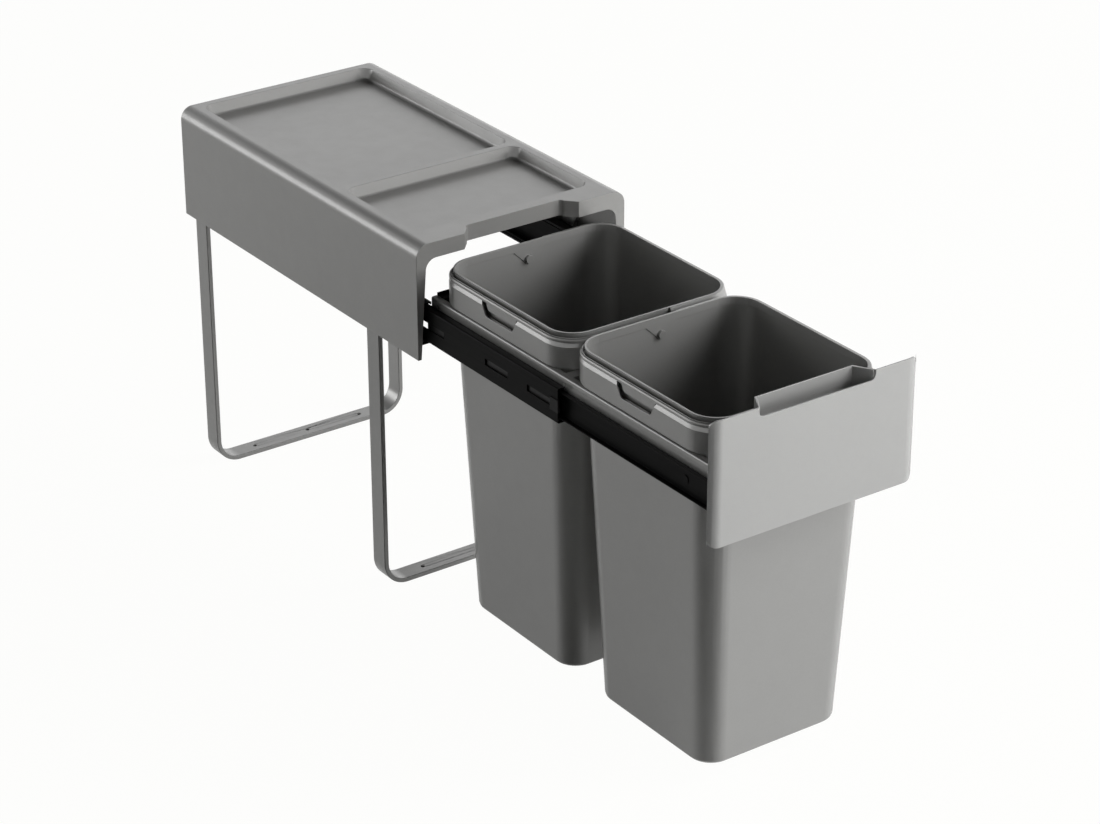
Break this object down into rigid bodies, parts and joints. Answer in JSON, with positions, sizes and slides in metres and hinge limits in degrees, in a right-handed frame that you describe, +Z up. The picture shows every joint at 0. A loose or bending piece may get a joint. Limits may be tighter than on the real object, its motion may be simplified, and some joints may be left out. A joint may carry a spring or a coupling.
{
  "type": "pull out bin frame",
  "caption": "Pull-out waste bin frame, open: lift-out bins with bail handles on a telescopic slide carrier under a canopy cover with U-shaped floor legs.",
  "frame": {"origin": "centre of the rear leg's middle floor screw hole, on the cabinet floor", "axes": "+X across the width to the right seen from the front, +Y back into the cabinet, +Z up; the drawer opens towards -Y"},
  "size_m": [0.25, 0.917, 0.414],
  "materials": {
    "cover_plastic": "fine matte texture, warm grey",
    "leg_paint": "powder coat, warm grey, satin",
    "slide_steel": "black coated steel",
    "cage_steel": "blackened spring steel",
    "ball_steel": "polished",
    "stop_plastic": "moulded black",
    "buffer_rubber": "soft black",
    "fastener_steel": "zinc plated",
    "carrier_paint": "powder coat, grey, satin",
    "panel_paint": "powder coat, light warm grey, satin",
    "bin_plastic": "moulded, fine matte texture, grey",
    "handle_plastic": "moulded, fine matte texture, grey"
  },
  "bodies": {
    "base": {"canopy_cover": "cover_plastic", "rear_leg": "leg_paint", "front_leg": "leg_paint", "left_cabinet_member": "slide_steel", "right_cabinet_member": "slide_steel", "left_rear_buffer": "buffer_rubber", "right_rear_buffer": "buffer_rubber", "leg_rivets": "fastener_steel"},
    "outer_cages": {"left_outer_ball_cage": "cage_steel", "right_outer_ball_cage": "cage_steel", "outer_balls": "ball_steel"},
    "middle": {"left_middle_member": "slide_steel", "right_middle_member": "slide_steel", "left_middle_stop": "stop_plastic", "right_middle_stop": "stop_plastic"},
    "inner_cages": {"left_inner_ball_cage": "cage_steel", "right_inner_ball_cage": "cage_steel", "inner_balls": "ball_steel"},
    "drawer": {"left_drawer_member": "slide_steel", "right_drawer_member": "slide_steel", "left_side_rail": "carrier_paint", "right_side_rail": "carrier_paint", "rear_bar": "slide_steel", "middle_bar": "carrier_paint", "front_bar": "carrier_paint", "carrier_rivets": "slide_steel", "frame_rivets": "fastener_steel", "front_panel": "panel_paint", "panel_screws": "fastener_steel"},
    "rear_bin_body": {"rear_bin": "bin_plastic"},
    "front_bin_body": {"front_bin": "bin_plastic"},
    "rear_handle_body": {"rear_bin_handle": "handle_plastic"},
    "front_handle_body": {"front_bin_handle": "handle_plastic"}
  },
  "joints": [
    {"name": "drawer_slide", "type": "slide", "parent": "base", "child": "drawer", "axis": [0, -1, 0], "range_m": [-0.45, 0]},
    {"name": "middle_slide", "type": "slide", "parent": "base", "child": "middle", "axis": [0, -1, 0], "range_m": [-0.225, 0]},
    {"name": "outer_cage_slide", "type": "slide", "parent": "base", "child": "outer_cages", "axis": [0, -1, 0], "range_m": [-0.1125, 0]},
    {"name": "inner_cage_slide", "type": "slide", "parent": "base", "child": "inner_cages", "axis": [0, -1, 0], "range_m": [-0.3375, 0]},
    {"name": "rear_bin_lift", "type": "slide", "parent": "drawer", "child": "rear_bin_body", "axis": [0, 0, 1], "range_m": [0, 0.4]},
    {"name": "rear_handle_hinge", "type": "hinge", "parent": "rear_bin_body", "child": "rear_handle_body", "pos_m": [0.002, -0.541, 0.372], "axis": [0, 1, 0], "range_deg": [0, 90]},
    {"name": "front_bin_lift", "type": "slide", "parent": "drawer", "child": "front_bin_body", "axis": [0, 0, 1], "range_m": [0, 0.4]},
    {"name": "front_handle_hinge", "type": "hinge", "parent": "front_bin_body", "child": "front_handle_body", "pos_m": [0.002, -0.7582, 0.372], "axis": [0, 1, 0], "range_deg": [0, 90]}
  ],
  "couplings": [
    {"joint": "middle_slide", "follows": "drawer_slide", "ratio": 0.5},
    {"joint": "outer_cage_slide", "follows": "drawer_slide", "ratio": 0.25},
    {"joint": "inner_cage_slide", "follows": "drawer_slide", "ratio": 0.75}
  ]
}
